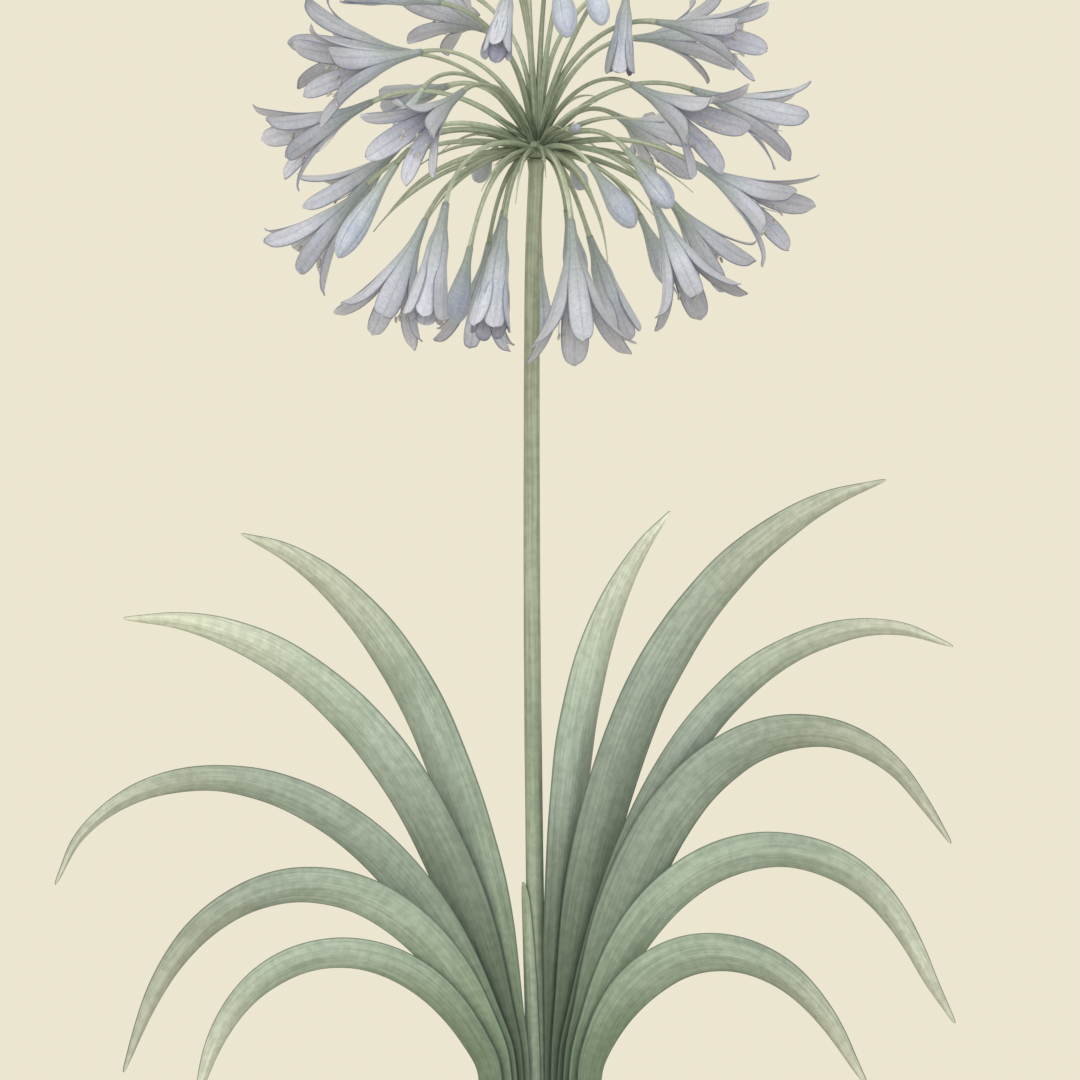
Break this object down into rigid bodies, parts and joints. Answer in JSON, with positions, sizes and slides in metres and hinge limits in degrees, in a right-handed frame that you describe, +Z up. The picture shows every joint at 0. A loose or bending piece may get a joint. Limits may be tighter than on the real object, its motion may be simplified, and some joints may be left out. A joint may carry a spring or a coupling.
{
  "type": "agapanthus plant",
  "caption": "Agapanthus in flower, lifted with its root ball: a fan of strap leaves round a bare stem with a ball-shaped umbel of nodding funnel florets and buds.",
  "frame": {"origin": "middle of the root ball's flat foot, on the surface it stands on", "axes": "+Z up along the scape, +X to the right along the fan of leaves as seen from the front, +Y to the back"},
  "size_m": [0.4003, 0.2041, 0.6341],
  "materials": {
    "soil": "matte",
    "rhizome": "matte",
    "leaf": "satin",
    "sheath": "satin",
    "scape": "satin",
    "pedicel": "satin",
    "floret": "matte",
    "bud": "matte"
  },
  "bodies": {
    "root": {"root_ball": "soil", "rhizome": "rhizome", "leaf_left_1": "leaf", "leaf_left_2": "leaf", "leaf_left_3": "leaf", "leaf_left_4": "leaf", "leaf_left_5": "leaf", "leaf_right_1": "leaf", "leaf_right_2": "leaf", "leaf_right_3": "leaf", "leaf_right_4": "leaf", "leaf_right_5": "leaf", "leaf_right_6": "leaf", "sheath_leaf": "sheath", "scape": "scape", "pedicels": "pedicel", "floret_01": "floret", "floret_02": "floret", "floret_03": "floret", "floret_04": "floret", "floret_05": "floret", "floret_06": "floret", "floret_07": "floret", "floret_08": "floret", "floret_09": "floret", "floret_10": "floret", "floret_11": "floret", "floret_12": "floret", "floret_13": "floret", "floret_14": "floret", "floret_15": "floret", "floret_16": "floret", "floret_17": "floret", "floret_18": "floret", "floret_19": "floret", "floret_20": "floret", "floret_21": "floret", "floret_22": "floret", "floret_23": "floret", "floret_24": "floret", "floret_25": "floret", "floret_26": "floret", "floret_27": "floret", "floret_28": "floret", "bud_01": "bud", "bud_02": "bud", "bud_03": "bud", "bud_04": "bud", "bud_05": "bud", "bud_06": "bud", "bud_07": "bud", "bud_08": "bud", "bud_09": "bud", "bud_10": "bud", "bud_11": "bud", "bud_12": "bud", "bud_13": "bud", "bud_14": "bud", "bud_15": "bud", "bud_16": "bud"}
  },
  "joints": []
}
